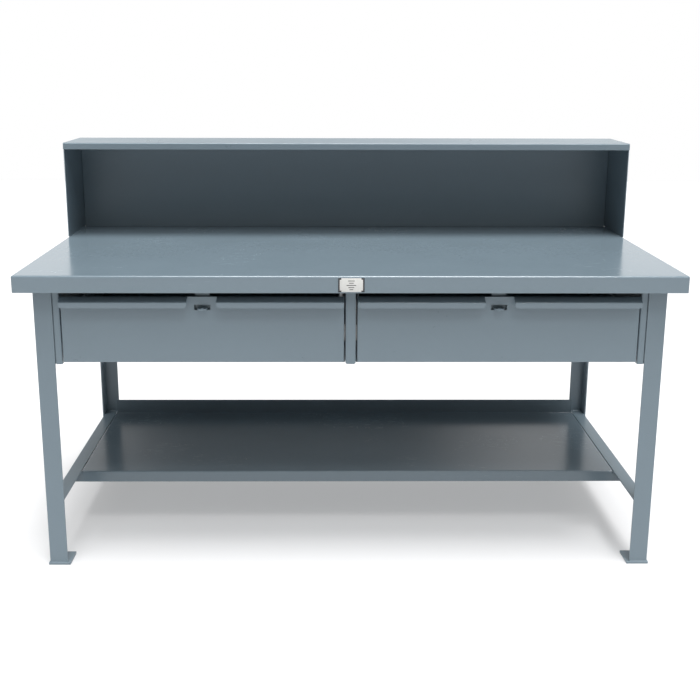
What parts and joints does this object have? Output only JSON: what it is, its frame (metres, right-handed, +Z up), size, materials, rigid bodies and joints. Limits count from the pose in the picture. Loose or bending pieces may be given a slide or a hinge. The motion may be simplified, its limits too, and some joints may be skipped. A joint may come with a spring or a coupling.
{
  "type": "steel workbench with drawers",
  "caption": "Heavy folded-steel workbench with a riser shelf along the back, side-by-side drawers on telescopic slides with padlock tabs, angle legs and a lower shelf.",
  "frame": {"origin": "on the floor, under the middle of the worktop", "axes": "+X to the right along the bench as its user faces it, +Y from the user to the back, +Z up; the drawers open along -Y"},
  "size_m": [1.8288, 0.9155, 1.1684],
  "materials": {
    "grey_enamel": "blue-grey semi-gloss machine enamel with a light orange peel",
    "zinc_plate": "bright zinc plate on cold-rolled slide section",
    "white_enamel": "white enamel on a thin plate, with a plain printed border"
  },
  "bodies": {
    "bench": {"worktop": "grey_enamel", "nameplate": "white_enamel", "riser_cap": "grey_enamel", "riser_back": "grey_enamel", "riser_left_side": "grey_enamel", "riser_right_side": "grey_enamel", "front_left_leg": "grey_enamel", "front_right_leg": "grey_enamel", "rear_left_leg": "grey_enamel", "rear_right_leg": "grey_enamel", "front_left_foot_plate": "grey_enamel", "front_right_foot_plate": "grey_enamel", "rear_left_foot_plate": "grey_enamel", "rear_right_foot_plate": "grey_enamel", "lower_left_rail": "grey_enamel", "lower_right_rail": "grey_enamel", "upper_left_rail": "grey_enamel", "upper_right_rail": "grey_enamel", "upper_front_rail": "grey_enamel", "upper_rear_rail": "grey_enamel", "front_top_channel": "grey_enamel", "middle_top_channel": "grey_enamel", "rear_top_channel": "grey_enamel", "lower_shelf": "grey_enamel", "shelf_front_left_cleat": "grey_enamel", "shelf_rear_left_cleat": "grey_enamel", "shelf_front_right_cleat": "grey_enamel", "shelf_rear_right_cleat": "grey_enamel", "left_bay_panel": "grey_enamel", "right_bay_panel": "grey_enamel", "left_bay_strip": "grey_enamel", "right_bay_strip": "grey_enamel", "centre_divider": "grey_enamel", "left_divider_ledge": "grey_enamel", "right_divider_ledge": "grey_enamel", "left_padlock_tab": "grey_enamel", "right_padlock_tab": "grey_enamel", "left_drawer_inner_slide_channel": "zinc_plate", "left_drawer_outer_slide_channel": "zinc_plate", "right_drawer_inner_slide_channel": "zinc_plate", "right_drawer_outer_slide_channel": "zinc_plate"},
    "left_drawer": {"left_drawer_front": "grey_enamel", "left_drawer_inner_pull": "grey_enamel", "left_drawer_outer_pull": "grey_enamel", "left_drawer_tray": "grey_enamel", "left_drawer_inner_slide_bar": "zinc_plate", "left_drawer_outer_slide_bar": "zinc_plate"},
    "left_carriage": {"left_drawer_inner_slide_carrier": "zinc_plate", "left_drawer_outer_slide_carrier": "zinc_plate"},
    "right_drawer": {"right_drawer_front": "grey_enamel", "right_drawer_inner_pull": "grey_enamel", "right_drawer_outer_pull": "grey_enamel", "right_drawer_tray": "grey_enamel", "right_drawer_inner_slide_bar": "zinc_plate", "right_drawer_outer_slide_bar": "zinc_plate"},
    "right_carriage": {"right_drawer_inner_slide_carrier": "zinc_plate", "right_drawer_outer_slide_carrier": "zinc_plate"}
  },
  "joints": [
    {"name": "left_drawer_slide", "type": "slide", "parent": "bench", "child": "left_drawer", "axis": [0, -1, 0], "range_m": [0, 0.5]},
    {"name": "left_carriage_slide", "type": "slide", "parent": "bench", "child": "left_carriage", "axis": [0, -1, 0], "range_m": [0, 0.25]},
    {"name": "right_drawer_slide", "type": "slide", "parent": "bench", "child": "right_drawer", "axis": [0, -1, 0], "range_m": [0, 0.5]},
    {"name": "right_carriage_slide", "type": "slide", "parent": "bench", "child": "right_carriage", "axis": [0, -1, 0], "range_m": [0, 0.25]}
  ],
  "couplings": [
    {"joint": "left_carriage_slide", "follows": "left_drawer_slide", "ratio": 0.5},
    {"joint": "right_carriage_slide", "follows": "right_drawer_slide", "ratio": 0.5}
  ]
}
